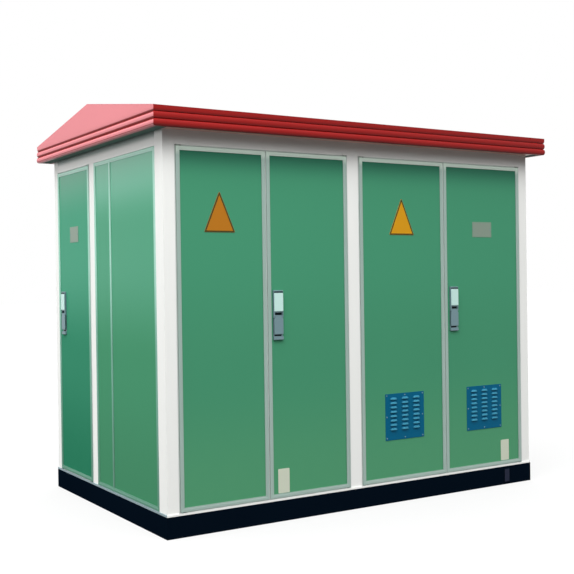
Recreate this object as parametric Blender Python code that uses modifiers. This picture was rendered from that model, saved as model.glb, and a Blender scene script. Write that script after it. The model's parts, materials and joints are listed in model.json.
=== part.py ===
"""Compact substation: a steel housing on a channel plinth, with hinged doors and a low gable roof.

Metres, +Z up. The origin is at the bottom centre of the plinth and the front faces -Y.
Each wall has an empty at its left bottom corner, seen from outside: its X runs along the
wall to the right, its Y runs into the housing and its Z is up.
"""

from math import cos, hypot, pi, radians, sin

import bmesh
import bpy
from mathutils import Matrix, Vector

# Overall sizes
LENGTH = 2.895
DEPTH = 1.840
PLINTH_HEIGHT = 0.128
SILL_HEIGHT = 0.012
SOFFIT_HEIGHT = 2.350
EAVE_OVERHANG = 0.092
GABLE_RISE = 0.161
FIT_GAP = 0.0003

# Plinth of rolled channels, and the floor that lies between them
CHANNEL_WALL = 0.007
CHANNEL_FLANGE = 0.065
FLOOR_THICKNESS = 0.006
JOIST_WIDTH = 0.060
JOIST_COUNT = 3
LUG_WIDTH = 0.044
LUG_HEIGHT = 0.088
LUG_THICKNESS = 0.006
LUG_FROM_RIGHT = 0.237

# Posts and head beams of folded sheet
SHEET = 0.003
SILL_DEPTH = 0.060
FRAME_SETBACK = 0.006
FRONT_POST_REACH = 0.0808
END_FRONT_REACH = 0.1125
END_BACK_REACH = 0.0748
MID_POST_WIDTH = 0.0871
END_MID_POST_WIDTH = 0.0798
NARROW_BAY = 1.2169
END_DOOR_BAY = 0.6174
BEAM_HEIGHT = 0.084
STOP_WIDTH = 0.018
STOP_GAP = 0.008

# Door leaves and the fixed bays that match them
LEAF_THICKNESS = 0.045
LEAF_TRIM = 0.025
LEAF_BEVEL = 0.002
DOOR_GAP = 0.0072
MEETING_GAP = 0.007
SILL_GAP = 0.005
HEAD_GAP = 0.0065
BAY_GAP = 0.0015
BAY_PROUD = 0.002
LIP_WIDTH = 0.007
LIP_THICKNESS = 0.0032
LIP_STEP = 0.0018
PANEL_THICKNESS = 0.030
END_MULLION_OFFSET = 0.268
END_MULLION_WIDTH = 0.022
MULLION_GROOVE = 0.003

# Pivots
PIVOT_INSET = 0.014
PIVOT_SETBACK = 0.008
PIVOT_RADIUS = 0.004
PIVOT_CLEARANCE = 0.0005
COLLAR_RADIUS = 0.0065
PIVOT_SEAT = 0.004
TAB_WIDTH = 0.028
TAB_THICKNESS = 0.005
PIVOT_DEPTH = 0.007

# Vents
VENT_WIDTH = 0.325
VENT_HEIGHT = 0.305
VENT_CENTRE_HEIGHT = 0.565
VENT_SHEET = 0.002
VENT_MARGIN = 0.014
HOOD_COLUMNS = 3
HOOD_ROWS = 8
HOOD_WIDTH = 0.066
HOOD_PITCH_X = 0.096
HOOD_PITCH_Z = 0.0287
HOOD_HEIGHT = 0.016
HOOD_DEPTH = 0.011
HOOD_SHEET = 0.0014
FIRST_HOOD_DROP = 0.022
HOOD_SLICES = 4

# Locks
LOCK_BOTTOM = 1.112
LOCK_HEIGHT = 0.303
LOCK_WIDTH = 0.070
LOCK_PROUD = 0.012
LOCK_SUNK = 0.010
LOCK_EDGE = 0.003
SADDLE_BOTTOM = 1.134
SADDLE_TOP = 1.280
CHEEK_WIDTH = 0.008
CHEEK_HEIGHT = 0.032
LEVER_TOP = 1.262
LEVER_LENGTH = 0.1165
LEVER_WIDTH = 0.066
LEVER_THICKNESS = 0.008
LEVER_CLEARANCE = 0.0055
LEVER_PROUD = 0.002
HEAD_CLEARANCE = 0.001
TRUNNION_RADIUS = 0.0025
TRUNNION_CLEARANCE = 0.0004
TRUNNION_BEARING = 0.005
LOCK_INSETS = {"door_2": 0.011, "door_4": 0.020, "end_door": 0.038}

# Roof
RIB_PITCH = 0.0408
TOP_RIB = 0.0314
GROOVE_DEPTH = 0.012
RIB_STEP = 0.0015
RIB_COUNT = 3
RIB_CURVE = 0.8
RIB_FACETS = 10
RIB_SHARP = 40
FASCIA_THICKNESS = 0.030
CEILING_THICKNESS = 0.004
ROOF_SHEET = 0.004

# Heights and depths that follow
BEAM_BOTTOM = SOFFIT_HEIGHT - BEAM_HEIGHT
SILL_TOP = PLINTH_HEIGHT + SILL_HEIGHT
LEAF_BOTTOM = SILL_TOP + SILL_GAP
LEAF_TOP = BEAM_BOTTOM - HEAD_GAP
STOP_FACE = LEAF_THICKNESS + STOP_GAP
STOP_BACK = STOP_FACE + SHEET
BAR_WIDTH = LEAF_TRIM - LIP_WIDTH
PANEL_FACE = LIP_STEP + LIP_THICKNESS + FIT_GAP
WIDE_BAY = LENGTH - 2 * FRONT_POST_REACH - MID_POST_WIDTH - NARROW_BAY
END_FIXED_BAY = DEPTH - END_FRONT_REACH - END_BACK_REACH - END_MID_POST_WIDTH - END_DOOR_BAY
FASCIA_HEIGHT = (RIB_COUNT - 1) * RIB_PITCH + TOP_RIB
FASCIA_TOP = SOFFIT_HEIGHT + FASCIA_HEIGHT


def collection(name):
    """A new collection in the scene."""
    made = bpy.data.collections.new(name)
    bpy.context.scene.collection.children.link(made)
    return made


def finish(name, colour, roughness, metallic=0.0):
    """A Principled material with this sRGB-linear colour."""
    material = bpy.data.materials.new(name)
    material.use_nodes = True
    shader = material.node_tree.nodes["Principled BSDF"]
    shader.inputs["Base Color"].default_value = (*colour, 1)
    shader.inputs["Roughness"].default_value = roughness
    shader.inputs["Metallic"].default_value = metallic
    return material


def empty(name, parent=None, location=(0, 0, 0), turn=0.0):
    """An empty that carries other objects."""
    made = bpy.data.objects.new(name, None)
    parts.objects.link(made)
    made.parent = parent
    made.location = location
    made.rotation_euler.z = turn
    return made


def part(name, mesh, parent, material, location=(0, 0, 0)):
    """An object of the model."""
    made = bpy.data.objects.new(name, mesh)
    parts.objects.link(made)
    made.parent = parent
    made.location = location
    mesh.materials.clear()
    mesh.materials.append(material)
    return made


def helper(target, name, mesh, operation):
    """A Boolean of the target with a mesh in the target's own coordinates."""
    tool = bpy.data.objects.new(f"{target.name}_{name}", mesh)
    cutters.objects.link(tool)
    tool.parent = target
    tool.hide_render = True
    tool.display_type = "WIRE"
    modifier = target.modifiers.new(name, "BOOLEAN")
    modifier.operation = operation
    modifier.solver = "EXACT"
    modifier.object = tool
    return modifier


def add(target, name, mesh):
    """Joins a mesh to the target."""
    helper(target, name, mesh, "UNION")


def cut(target, name, mesh):
    """Cuts a mesh from the target."""
    helper(target, name, mesh, "DIFFERENCE")


def mesh_from(bm, name):
    """A mesh from bmesh geometry whose faces point outwards."""
    bmesh.ops.recalc_face_normals(bm, faces=bm.faces)
    if bm.calc_volume(signed=True) < 0:
        bmesh.ops.reverse_faces(bm, faces=bm.faces)
    mesh = bpy.data.meshes.new(name)
    bm.to_mesh(mesh)
    bm.free()
    return mesh


def boxes(name, corners):
    """Boxes in one mesh, each from its lowest and highest corner."""
    bm = bmesh.new()
    for low, high in corners:
        low = Vector(low)
        high = Vector(high)
        cube = bmesh.ops.create_cube(bm, size=1.0)["verts"]
        bmesh.ops.scale(bm, vec=high - low, verts=cube)
        bmesh.ops.translate(bm, vec=(low + high) / 2, verts=cube)
    return mesh_from(bm, name)


def cylinders(name, radius, spans, axis="Z", segments=16):
    """Cylinders in one mesh, each from the centre of its low end and its length along the axis."""
    bm = bmesh.new()
    for centre, length in spans:
        made = bmesh.ops.create_cone(
            bm, cap_ends=True, segments=segments, radius1=radius, radius2=radius, depth=length
        )["verts"]
        bmesh.ops.translate(bm, vec=(0, 0, length / 2), verts=made)
        for face in bm.faces:
            face.smooth = len(face.verts) == 4
        if axis == "X":
            for vert in made:
                vert.co = Vector((vert.co.z, vert.co.x, vert.co.y))
        bmesh.ops.translate(bm, vec=centre, verts=made)
    return mesh_from(bm, name)


def folded(path, thickness):
    """The outline of a sheet folded along a path, with its thickness to the left of the path."""
    points = [Vector(point) for point in path]
    inner = []
    for index, point in enumerate(points):
        sides = []
        if index:
            sides.append((point - points[index - 1]).normalized())
        if index + 1 < len(points):
            sides.append((points[index + 1] - point).normalized())
        normals = [Vector((-side.y, side.x)) for side in sides]
        mean = sum(normals, Vector((0, 0))).normalized()
        inner.append(point + mean * thickness / mean.dot(normals[0]))
    return [tuple(point) for point in points + inner[::-1]]


def outline_mesh(name, outline, height):
    """A flat outline in X and Y, extruded up from Z 0."""
    curve = bpy.data.curves.new(name, "CURVE")
    curve.dimensions = "2D"
    curve.fill_mode = "BOTH"
    curve.extrude = height / 2
    spline = curve.splines.new("POLY")
    spline.points.add(len(outline) - 1)
    for point, (x, y) in zip(spline.points, outline):
        point.co = (x, y, 0, 1)
    spline.use_cyclic_u = True
    drawn = bpy.data.objects.new(name, curve)
    bpy.context.scene.collection.objects.link(drawn)
    graph = bpy.context.evaluated_depsgraph_get()
    mesh = bpy.data.meshes.new_from_object(drawn.evaluated_get(graph))
    bpy.data.objects.remove(drawn)
    bm = bmesh.new()
    bm.from_mesh(mesh)
    bpy.data.meshes.remove(mesh)
    bmesh.ops.remove_doubles(bm, verts=bm.verts, dist=1e-6)
    bmesh.ops.translate(bm, vec=(0, 0, height / 2), verts=bm.verts)
    return mesh_from(bm, name)


def turned(mesh, order):
    """The mesh with its axes renamed, such as YZX for an outline that stands along X."""
    bm = bmesh.new()
    bm.from_mesh(mesh)
    for vert in bm.verts:
        vert.co = Vector([vert.co["XYZ".index(axis)] for axis in order])
    name = mesh.name
    bpy.data.meshes.remove(mesh)
    return mesh_from(bm, name)


def mitred_bar(name, section, length):
    """A bar along X whose ends are mitred inwards. The section is a list of inset and height."""
    bm = bmesh.new()
    ends = []
    for far in (False, True):
        ends.append(
            [bm.verts.new((length - inset if far else inset, inset, z)) for inset, z in section]
        )
    near, far = ends
    for index in range(len(section)):
        after = (index + 1) % len(section)
        bm.faces.new((near[index], near[after], far[after], far[index]))
    bm.faces.new(near)
    bm.faces.new(far)
    return mesh_from(bm, name)


def mitred_ring(name, section, width, height):
    """A closed frame in X and Z from a section of inset and depth, mitred at its four corners."""
    bm = bmesh.new()
    rings = []
    for right, top in ((False, False), (True, False), (True, True), (False, True)):
        rings.append(
            [
                bm.verts.new(
                    (width - inset if right else inset, depth, height - inset if top else inset)
                )
                for inset, depth in section
            ]
        )
    for side in range(4):
        here = rings[side]
        there = rings[(side + 1) % 4]
        for index in range(len(section)):
            after = (index + 1) % len(section)
            bm.faces.new((here[index], here[after], there[after], there[index]))
    return mesh_from(bm, name)


def rounded(thing):
    """Rounds the edges of a lock's piece."""
    modifier = thing.modifiers.new("rounded", "BEVEL")
    modifier.width = LOCK_EDGE
    modifier.segments = 2
    modifier.limit_method = "ANGLE"


def channel(depth, height, thickness):
    """The section of a channel that opens inwards, as inset and height."""
    return [
        (0, 0),
        (depth, 0),
        (depth, thickness),
        (thickness, thickness),
        (thickness, height - thickness),
        (depth, height - thickness),
        (depth, height),
        (0, height),
    ]


def rail(wall, length):
    """A plinth channel."""
    section = channel(CHANNEL_FLANGE, PLINTH_HEIGHT, CHANNEL_WALL)
    mesh = mitred_bar(f"plinth_{wall.name}_rail", section, length - 2 * FIT_GAP)
    return part(mesh.name, mesh, wall, STEEL_BLACK, (FIT_GAP, 0, 0))


def sill(wall, length, bays, pivots):
    """A folded sill on the plinth, with a stop strip in each bay and holes for the lower pivots."""
    section = channel(SILL_DEPTH, SILL_HEIGHT - FIT_GAP, SHEET)
    mesh = mitred_bar(f"{wall.name}_sill", section, length - 2 * FIT_GAP)
    base = PLINTH_HEIGHT + FIT_GAP
    made = part(mesh.name, mesh, wall, PAINT_WHITE, (FIT_GAP, 0, base))
    top = SILL_HEIGHT - FIT_GAP
    strips = [
        (
            (low + STOP_WIDTH + 2 * FIT_GAP, STOP_FACE, top - SHEET / 2),
            (high - STOP_WIDTH - 2 * FIT_GAP, STOP_BACK, top + STOP_WIDTH),
        )
        for low, high in bays
    ]
    add(made, "stops", boxes("stops", strips))
    if pivots:
        holes = [((x - FIT_GAP, PIVOT_SETBACK, top - 2 * SHEET), 3 * SHEET) for x in pivots]
        cut(made, "pivot_holes", cylinders("holes", PIVOT_RADIUS + PIVOT_CLEARANCE, holes))
    return made


def earth_lug(front_rail):
    """The earthing pad near the right end of the front channel."""
    right = LENGTH - LUG_FROM_RIGHT + LUG_WIDTH / 2
    middle = PLINTH_HEIGHT / 2
    corners = (
        (right - LUG_WIDTH, -LUG_THICKNESS, middle - LUG_HEIGHT / 2),
        (right, CHANNEL_WALL / 2, middle + LUG_HEIGHT / 2),
    )
    add(front_rail, "earth_lug", boxes("earth_lug", [corners]))


def floor_plate(parent):
    """The floor between the flanges, on joists that reach into the channels."""
    half_x = LENGTH / 2 - CHANNEL_FLANGE - FIT_GAP
    half_y = DEPTH / 2 - CHANNEL_FLANGE - FIT_GAP
    top = PLINTH_HEIGHT
    low = (-half_x, -half_y, top - FLOOR_THICKNESS)
    made = part("floor_plate", boxes("floor_plate", [(low, (half_x, half_y, top))]), parent, STEEL_GREY)
    reach = DEPTH / 2 - CHANNEL_WALL - FIT_GAP
    joists = []
    necks = []
    for index in range(JOIST_COUNT):
        x = (index + 1) * LENGTH / (JOIST_COUNT + 1) - LENGTH / 2
        left = x - JOIST_WIDTH / 2
        right = x + JOIST_WIDTH / 2
        under = top - CHANNEL_WALL - FIT_GAP
        joists.append(((left, -reach, CHANNEL_WALL + FIT_GAP), (right, reach, under)))
        inner = half_y - JOIST_WIDTH
        necks.append(((left + SHEET, -inner, under / 2), (right - SHEET, inner, top - FLOOR_THICKNESS / 2)))
    add(made, "necks", boxes("necks", necks))
    add(made, "joists", boxes("joists", joists))
    return made


def corner_post(name, wall, reach_x, reach_y):
    """A folded corner post with a stop flange behind each neighbouring bay."""
    inside = STOP_BACK + SHEET
    path = [
        (inside, reach_y),
        (FRAME_SETBACK, reach_y),
        (FRAME_SETBACK, FRAME_SETBACK),
        (reach_x, FRAME_SETBACK),
        (reach_x, inside),
    ]
    base = SILL_TOP + FIT_GAP
    mesh = outline_mesh(name, folded(path, SHEET), SOFFIT_HEIGHT - base)
    made = part(name, mesh, wall, PAINT_WHITE, (0, 0, base))
    top = BEAM_BOTTOM - FIT_GAP - base
    flanges = [
        ((reach_x - SHEET / 2, STOP_FACE, 0), (reach_x + STOP_WIDTH, STOP_BACK, top)),
        ((STOP_FACE, reach_y - SHEET / 2, 0), (STOP_BACK, reach_y + STOP_WIDTH, top)),
    ]
    add(made, "stops", boxes("stops", flanges))
    return made


def mid_post(wall, low, width):
    """A folded post between two bays, with a stop flange behind each."""
    name = f"{wall.name}_mid_post"
    path = [
        (-STOP_WIDTH, STOP_FACE),
        (0, STOP_FACE),
        (0, FRAME_SETBACK),
        (width, FRAME_SETBACK),
        (width, STOP_FACE),
        (width + STOP_WIDTH, STOP_FACE),
    ]
    base = SILL_TOP + FIT_GAP
    mesh = outline_mesh(name, folded(path, SHEET), BEAM_BOTTOM - FIT_GAP - base)
    return part(name, mesh, wall, PAINT_WHITE, (low, 0, base))


def head_beam(wall, low, high, bays, pivots):
    """A folded beam over the bays of one wall, with stop strips and brackets for the upper pivots."""
    name = f"{wall.name}_head_beam"
    reach = STOP_BACK + SHEET
    path = [
        (reach, BEAM_BOTTOM),
        (FRAME_SETBACK, BEAM_BOTTOM),
        (FRAME_SETBACK, SOFFIT_HEIGHT),
        (reach, SOFFIT_HEIGHT),
    ]
    outline = folded(path[::-1], SHEET)
    length = high - low - 2 * FIT_GAP
    mesh = turned(outline_mesh(name, outline, length), "ZXY")
    made = part(name, mesh, wall, PAINT_WHITE, (low + FIT_GAP, 0, 0))
    start = low + FIT_GAP
    strips = [
        (
            (left + STOP_WIDTH + FIT_GAP - start, STOP_FACE, BEAM_BOTTOM - STOP_WIDTH),
            (right - STOP_WIDTH - FIT_GAP - start, STOP_BACK, BEAM_BOTTOM + SHEET / 2),
        )
        for left, right in bays
    ]
    add(made, "stops", boxes("stops", strips))
    if pivots:
        tabs = [
            (
                (x - TAB_WIDTH / 2 - start, 0, BEAM_BOTTOM),
                (x + TAB_WIDTH / 2 - start, FRAME_SETBACK + SHEET / 2, BEAM_BOTTOM + TAB_THICKNESS),
            )
            for x in pivots
        ]
        add(made, "brackets", boxes("brackets", tabs))
        depth = TAB_THICKNESS + SHEET
        holes = [((x - start, PIVOT_SETBACK, BEAM_BOTTOM - SHEET / 2), depth) for x in pivots]
        cut(made, "pivot_holes", cylinders("holes", PIVOT_RADIUS + PIVOT_CLEARANCE, holes))
    return made


def trim_section(thickness):
    """Inset and depth of the aluminium section round a leaf: a bar, a step and a lip for the panel."""
    return [
        (0, LEAF_BEVEL),
        (LEAF_BEVEL, 0),
        (BAR_WIDTH - LIP_STEP, 0),
        (BAR_WIDTH, LIP_STEP),
        (LEAF_TRIM, LIP_STEP),
        (LEAF_TRIM, LIP_STEP + LIP_THICKNESS),
        (BAR_WIDTH, LIP_STEP + LIP_THICKNESS),
        (BAR_WIDTH, thickness - LEAF_BEVEL),
        (BAR_WIDTH - LEAF_BEVEL, thickness),
        (LEAF_BEVEL, thickness),
        (0, thickness - LEAF_BEVEL),
    ]


def panel(name, parent, width, height, corner, vents=(), locks=()):
    """The flat panel held in a leaf's frame, with a window behind each vent and a pocket for a lock."""
    edge = BAR_WIDTH + FIT_GAP
    low = (edge, PANEL_FACE, edge)
    high = (width - edge, PANEL_FACE + PANEL_THICKNESS, height - edge)
    made = part(name, boxes(name, [(low, high)]), parent, PAINT_GREEN, corner)
    half_x = VENT_WIDTH / 2 - VENT_MARGIN
    half_z = VENT_HEIGHT / 2 - VENT_MARGIN
    windows = [
        (
            (x - half_x, PANEL_FACE - SHEET, z - half_z),
            (x + half_x, PANEL_FACE + PANEL_THICKNESS + SHEET, z + half_z),
        )
        for x, z in vents
    ]
    if windows:
        cut(made, "windows", boxes("windows", windows))
    foot = LOCK_BOTTOM - corner[2] - FIT_GAP
    pockets = [
        (
            (x - FIT_GAP, PANEL_FACE - SHEET, foot),
            (x + LOCK_WIDTH + FIT_GAP, PANEL_FACE + LOCK_SUNK, foot + LOCK_HEIGHT + 2 * FIT_GAP),
        )
        for x in locks
    ]
    if pockets:
        cut(made, "pocket", boxes("pocket", pockets))
    return made


def hood(bm, x, base, sheet, behind):
    """Adds a pressed hood, lower and flatter towards its ends, or the hollow a sheet inside it."""
    slices = []
    for index in range(HOOD_SLICES):
        angle = pi * index / (HOOD_SLICES - 1)
        swell = sin(angle) ** 0.6
        across = x + sheet + (HOOD_WIDTH - 2 * sheet) * (1 - cos(angle)) / 2
        out = (HOOD_DEPTH - sheet) * swell
        rise = (HOOD_HEIGHT - sheet) * (0.35 + 0.65 * swell)
        sunk = -VENT_SHEET * 3 / 4
        points = [
            (sunk - out, base - sheet),
            (sunk - out * 0.72, base + rise * 0.62),
            (sunk, base + rise),
            (behind, base + rise),
            (behind, base - sheet),
        ]
        if sheet:
            points.pop(1)
        slices.append([bm.verts.new((across, y, z)) for y, z in points])
    for near, far in zip(slices, slices[1:]):
        for index in range(len(near)):
            after = (index + 1) % len(near)
            bm.faces.new((near[index], near[after], far[after], far[index]))
    bm.faces.new(slices[0])
    bm.faces.new(slices[-1])


def vent(name, parent, x, setback=0.0):
    """A louvred plate: rows of pressed hoods, each over a slot."""
    low = (-VENT_WIDTH / 2, -VENT_SHEET, -VENT_HEIGHT / 2)
    high = (VENT_WIDTH / 2, 0, VENT_HEIGHT / 2)
    place = (x, setback + PANEL_FACE - FIT_GAP, VENT_CENTRE_HEIGHT)
    made = part(name, boxes(name, [(low, high)]), parent, PAINT_BLUE, place)
    shells = bmesh.new()
    hollows = bmesh.new()
    for column in range(HOOD_COLUMNS):
        start = (column - (HOOD_COLUMNS - 1) / 2) * HOOD_PITCH_X - HOOD_WIDTH / 2
        for row in range(HOOD_ROWS):
            base = VENT_HEIGHT / 2 - FIRST_HOOD_DROP - row * HOOD_PITCH_Z - HOOD_HEIGHT
            hood(shells, start, base, 0, -VENT_SHEET / 2)
            hood(hollows, start, base, HOOD_SHEET, VENT_SHEET)
    add(made, "hoods", mesh_from(shells, "hoods"))
    cut(made, "slots", mesh_from(hollows, "slots"))
    return made


def upright(name, outline, front, back):
    """A flat outline in X and Z, extruded along Y from front to back."""
    mesh = turned(outline_mesh(name, outline, back - front), "XZY")
    mesh.transform(Matrix.Translation((0, front, 0)))
    return mesh


def stepped(wide, narrow, low, shoulder, high):
    """The outline of a shape of two half widths: wide below the shoulder, narrow above it."""
    right = [(wide, low), (wide, shoulder), (narrow, shoulder), (narrow, high)]
    return right + [(-x, z) for x, z in reversed(right)]


def lock(name, parent, left):
    """A swing-handle lock: a case with a saddle, and the lever that lies in it on its own body."""
    half = LOCK_WIDTH / 2
    middle = left + half
    face = PANEL_FACE - LOCK_PROUD
    depth = LOCK_PROUD + LOCK_SUNK - FIT_GAP
    block = [((-half, 0, LOCK_BOTTOM), (half, depth, LOCK_BOTTOM + LOCK_HEIGHT))]
    mesh = boxes(f"{name}_lock_case", block)
    case = part(mesh.name, mesh, parent, LOCK_GREY, (middle, face, 0))
    rounded(case)
    floor = LEVER_CLEARANCE + LEVER_THICKNESS - LEVER_PROUD
    between = half - CHEEK_WIDTH
    cheek = SADDLE_TOP - CHEEK_HEIGHT
    outline = stepped(LOCK_WIDTH, between, SADDLE_BOTTOM, cheek, SADDLE_TOP)
    cut(case, "saddle", upright("saddle", outline, -LOCK_PROUD, floor))
    pin_y = floor - LEVER_CLEARANCE - LEVER_THICKNESS / 2
    pin_z = LEVER_TOP - LEVER_THICKNESS / 2
    bearing = between + TRUNNION_BEARING
    hole = [((-bearing, pin_y, pin_z), 2 * bearing)]
    cut(case, "bearing", cylinders("bearing", TRUNNION_RADIUS + TRUNNION_CLEARANCE, hole, "X"))

    axis = empty(f"{name}_lever_axis", parent, (middle, face + pin_y, pin_z))
    deep = LEVER_THICKNESS / 2
    neck = between - HEAD_CLEARANCE
    shoulder = cheek - LEVER_CLEARANCE - pin_z
    outline = stepped(LEVER_WIDTH / 2, neck, deep - LEVER_LENGTH, shoulder, deep)
    mesh = upright(f"{name}_lever", outline, -deep, deep)
    lever = part(mesh.name, mesh, axis, LOCK_GREY)
    rounded(lever)
    end = bearing - TRUNNION_CLEARANCE
    pin = [((-end, 0, 0), 2 * end)]
    add(lever, "trunnion", cylinders("trunnion", TRUNNION_RADIUS, pin, "X"))


def leaf(name, wall, left, width, hinge, vented=False, locked=False):
    """A hinged leaf, on an empty that stands on its pivot axis."""
    axis_x = left + PIVOT_INSET if hinge == "left" else left + width - PIVOT_INSET
    axis = empty(f"{name}_axis", wall, (axis_x, PIVOT_SETBACK, 0))
    corner = Vector((left - axis_x, -PIVOT_SETBACK, LEAF_BOTTOM))
    height = LEAF_TOP - LEAF_BOTTOM
    frame_mesh = mitred_ring(f"{name}_frame", trim_section(LEAF_THICKNESS), width, height)
    frame = part(frame_mesh.name, frame_mesh, axis, ALUMINIUM, corner)
    pin_x = axis_x - left
    inside = BAR_WIDTH / 2
    lower = ((pin_x, PIVOT_SETBACK, -SILL_GAP - PIVOT_DEPTH), SILL_GAP + PIVOT_DEPTH + inside)
    rise = HEAD_GAP + TAB_THICKNESS
    upper = ((pin_x, PIVOT_SETBACK, height - inside), inside + rise - FIT_GAP)
    add(frame, "pins", cylinders("pins", PIVOT_RADIUS, [lower, upper]))
    collar = ((pin_x, PIVOT_SETBACK, FIT_GAP - SILL_GAP), SILL_GAP + PIVOT_SEAT)
    add(frame, "collar", cylinders("collar", COLLAR_RADIUS, [collar]))
    middle = width / 2
    vents = [(middle, VENT_CENTRE_HEIGHT - LEAF_BOTTOM)] if vented else []
    locks = [LEAF_TRIM + LOCK_INSETS[name]] if locked else []
    panel(f"{name}_panel", axis, width, height, corner, vents, locks)
    body = empty(f"{name}_body", axis, (left - axis_x, -PIVOT_SETBACK, 0))
    if vented:
        vent(f"{name}_vent", body, middle)
    if locked:
        lock(name, body, locks[0])
    return axis_x


def fixed_bay(name, wall, left, width, mullion=None, strip=0.0, vents=()):
    """A fixed frame seated on its stops, with one panel and a mullion: a strip, or two that meet."""
    bottom = SILL_TOP + FIT_GAP
    height = BEAM_BOTTOM - BAY_GAP - bottom
    setback = FRAME_SETBACK - BAY_PROUD
    thickness = STOP_FACE - FIT_GAP - setback
    corner = (left + BAY_GAP, setback, bottom)
    wide = width - 2 * BAY_GAP
    frame_mesh = mitred_ring(f"{name}_frame", trim_section(thickness), wide, height)
    frame = part(frame_mesh.name, frame_mesh, wall, ALUMINIUM, corner)
    if mullion:
        half = (strip or 2 * LEAF_TRIM + MEETING_GAP) / 2
        middle = mullion - BAY_GAP
        inset = BAR_WIDTH / 2
        bars = [
            (
                (middle - half, LEAF_BEVEL / 2, inset),
                (middle + half, LIP_STEP + LIP_THICKNESS, height - inset),
            )
        ]
        add(frame, "mullion", boxes("mullion", bars))
        if not strip:
            groove = [
                (
                    (middle - MULLION_GROOVE / 2, -SHEET, LEAF_TRIM),
                    (middle + MULLION_GROOVE / 2, LIP_STEP, height - LEAF_TRIM),
                )
            ]
            cut(frame, "groove", boxes("groove", groove))
    spots = [(x - BAY_GAP, VENT_CENTRE_HEIGHT - bottom) for x in vents]
    panel(f"{name}_panel", wall, wide, height, corner, spots)
    for number, x in enumerate(vents, 1):
        vent(f"{name}_vent_{number}", wall, left + x, setback)


def pair(width):
    """The left edge and width of each of two leaves in a bay of this width."""
    leaf_width = (width - 2 * DOOR_GAP - MEETING_GAP) / 2
    return DOOR_GAP, DOOR_GAP + leaf_width + MEETING_GAP, leaf_width


def fascia(parent):
    """The band round the roof with round ribs, mitred at its corners. The top rib ends flat."""
    section = []
    for rib in range(RIB_COUNT):
        last = RIB_FACETS // 2 if rib + 1 == RIB_COUNT else RIB_FACETS
        for index in range(1, last + 1):
            angle = pi * index / RIB_FACETS
            bulge = sin(angle) ** RIB_CURVE
            inset = rib * RIB_STEP * bulge + GROOVE_DEPTH * (1 - bulge)
            section.append((inset, (rib + (1 - cos(angle)) / 2) * RIB_PITCH))
    section = [(section[0][0], 0)] + section
    section += [((RIB_COUNT - 1) * RIB_STEP, FASCIA_HEIGHT)]
    section += [(FASCIA_THICKNESS, FASCIA_HEIGHT), (FASCIA_THICKNESS, 0)]
    width = LENGTH + 2 * EAVE_OVERHANG
    depth = DEPTH + 2 * EAVE_OVERHANG
    mesh = turned(mitred_ring("roof_fascia", section, width, depth), "XZY")
    mesh.shade_smooth()
    mesh.set_sharp_from_angle(angle=radians(RIB_SHARP))
    return part("roof_fascia", mesh, parent, PAINT_RED, (-width / 2, -depth / 2, SOFFIT_HEIGHT))


def ceiling(parent):
    """The plate inside the fascia that closes the eaves and the room."""
    edge = FASCIA_THICKNESS + FIT_GAP
    half_x = LENGTH / 2 + EAVE_OVERHANG - edge
    half_y = DEPTH / 2 + EAVE_OVERHANG - edge
    bottom = SOFFIT_HEIGHT + FIT_GAP
    corners = [((-half_x, -half_y, bottom), (half_x, half_y, bottom + CEILING_THICKNESS))]
    return part("ceiling_plate", boxes("ceiling_plate", corners), parent, PAINT_WHITE)


def roof(parent):
    """Two sheets that meet at the ridge, and the gables under them in the planes of the end fascias."""
    inset = (RIB_COUNT - 1) * RIB_STEP
    eave = DEPTH / 2 + EAVE_OVERHANG - inset
    end = LENGTH / 2 + EAVE_OVERHANG - inset
    seat = FASCIA_TOP + FIT_GAP
    rise = FASCIA_TOP + GABLE_RISE - seat - ROOF_SHEET
    slope = rise / (eave - FIT_GAP)
    foot = FASCIA_THICKNESS - inset
    outline = [
        (eave, seat),
        (eave, seat + ROOF_SHEET),
        (FIT_GAP, seat + ROOF_SHEET + slope * (eave - FIT_GAP)),
        (FIT_GAP, seat + slope * (eave - FIT_GAP)),
        (eave - foot, seat + slope * foot),
        (eave - foot, seat),
    ]
    for name, side in (("front", -1), ("back", 1)):
        points = [(side * y, z) for y, z in outline]
        mesh = turned(outline_mesh(f"roof_slope_{name}", points, 2 * end), "ZXY")
        part(mesh.name, mesh, parent, PAINT_RED, (-end, 0, 0))
    half = eave - foot - FIT_GAP
    top = hypot(1, slope) * FIT_GAP
    triangle = [
        (-half, seat),
        (half, seat),
        (half, seat + slope * (eave - half) - top),
        (0, seat + slope * eave - top - slope * FIT_GAP),
        (-half, seat + slope * (eave - half) - top),
    ]
    for name, x in (("left", -end), ("right", end - ROOF_SHEET)):
        mesh = turned(outline_mesh(f"gable_{name}", triangle, ROOF_SHEET), "ZXY")
        part(mesh.name, mesh, parent, PAINT_RED, (x, 0, 0))


for thing in list(bpy.data.objects):
    bpy.data.objects.remove(thing)
parts = collection("Compact substation")
cutters = collection("Cutters")

PAINT_GREEN = finish("green door paint", (0.065, 0.283, 0.156), 0.45)
PAINT_WHITE = finish("white frame paint", (0.80, 0.80, 0.78), 0.45)
PAINT_RED = finish("red roof paint", (0.24, 0.008, 0.008), 0.35)
PAINT_BLUE = finish("blue vent paint", (0.005, 0.090, 0.180), 0.45)
ALUMINIUM = finish("aluminium trim", (0.36, 0.43, 0.39), 0.4, 0.6)
LOCK_GREY = finish("grey lock casting", (0.20, 0.27, 0.31), 0.4, 0.3)
STEEL_BLACK = finish("black plinth paint", (0.004, 0.006, 0.012), 0.5)
STEEL_GREY = finish("grey floor paint", (0.15, 0.16, 0.16), 0.6)

base = empty("substation")
front = empty("front", base, (-LENGTH / 2, -DEPTH / 2, 0))
right = empty("right", base, (LENGTH / 2, -DEPTH / 2, 0), radians(90))
back = empty("back", base, (LENGTH / 2, DEPTH / 2, 0), radians(180))
left = empty("left", base, (-LENGTH / 2, DEPTH / 2, 0), radians(-90))

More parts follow.
